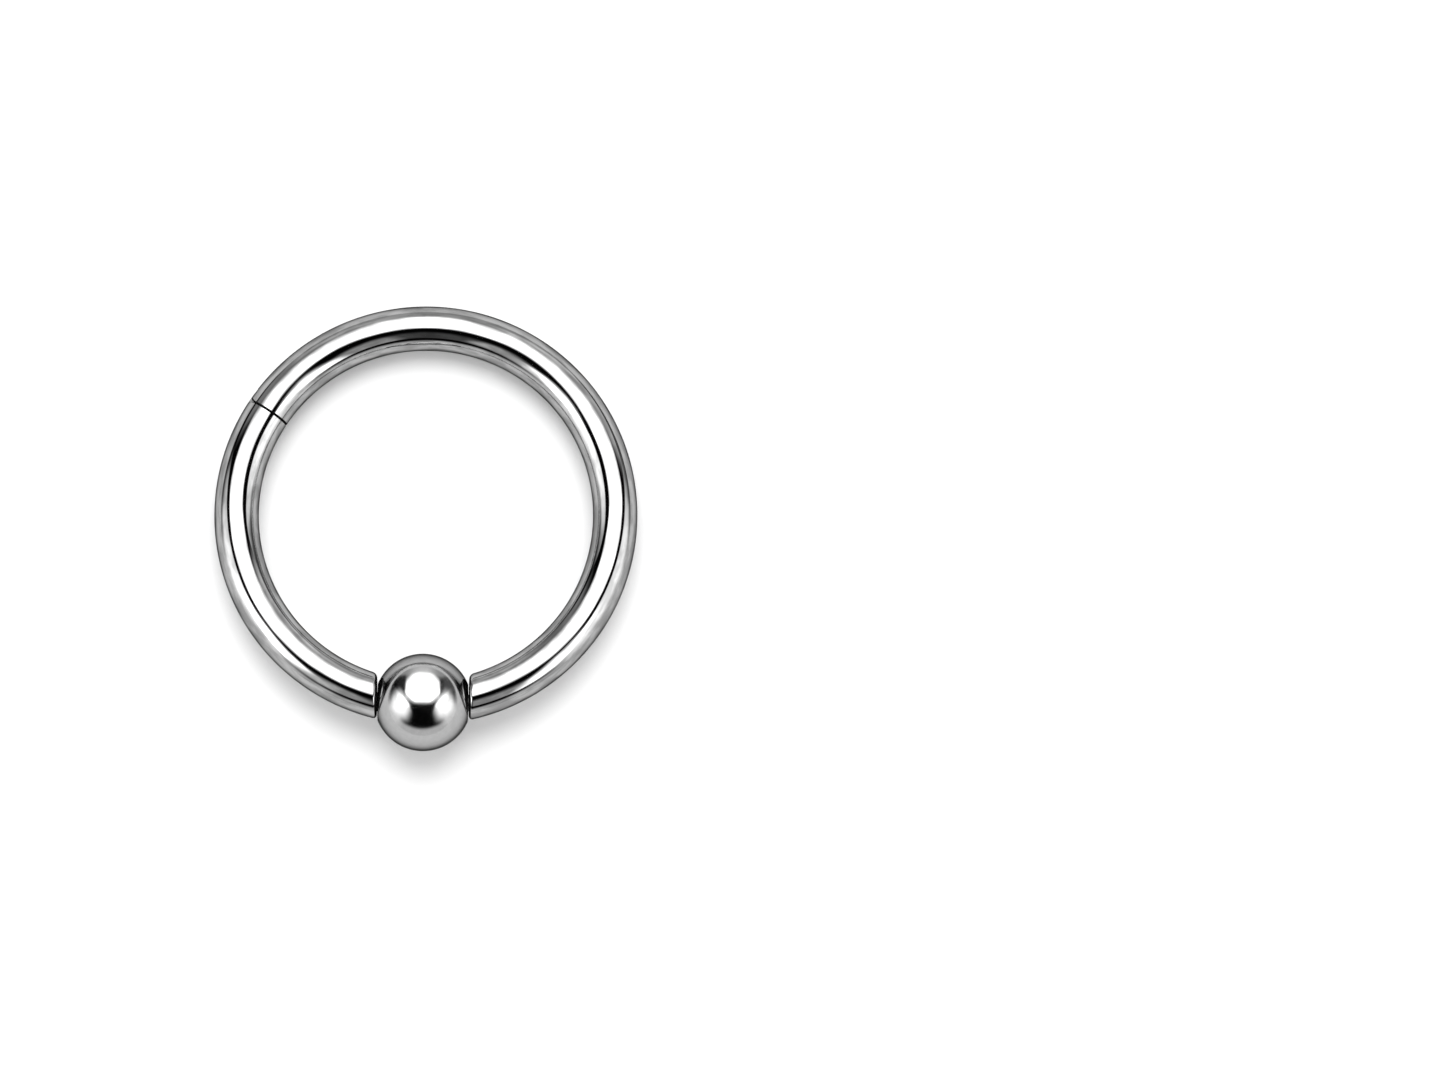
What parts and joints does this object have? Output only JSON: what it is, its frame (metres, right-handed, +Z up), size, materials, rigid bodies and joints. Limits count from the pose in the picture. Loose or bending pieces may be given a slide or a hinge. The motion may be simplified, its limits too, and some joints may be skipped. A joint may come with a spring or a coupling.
{
  "type": "captive bead ring",
  "caption": "Round wire ring closed by a captive bead, with a hinged segment that swings outward to open it.",
  "frame": {"origin": "middle of the box round the ring as it lies, at the surface it rests on", "axes": "+Z up from the surface, -Y towards the bead, +X from the hinged segment's side to the long arc's side; the ring's own axis leans 4 degrees from +Z towards +Y, because the bead holds that end up"},
  "size_m": [0.0152, 0.0162, 0.0035],
  "materials": {
    "polished_steel": "mirror-polished stainless steel",
    "pin_steel": "plain drawn steel pin"
  },
  "bodies": {
    "ring": {"main_arc": "polished_steel", "bead": "polished_steel", "hinge_pin": "pin_steel"},
    "segment": {"hinged_segment": "polished_steel"}
  },
  "joints": [
    {"name": "segment_hinge", "type": "hinge", "parent": "ring", "child": "segment", "pos_m": [-0.00606, 0.00461, 0.00099], "axis": [0, -0.0699, -0.9976], "range_deg": [0, 30]}
  ]
}
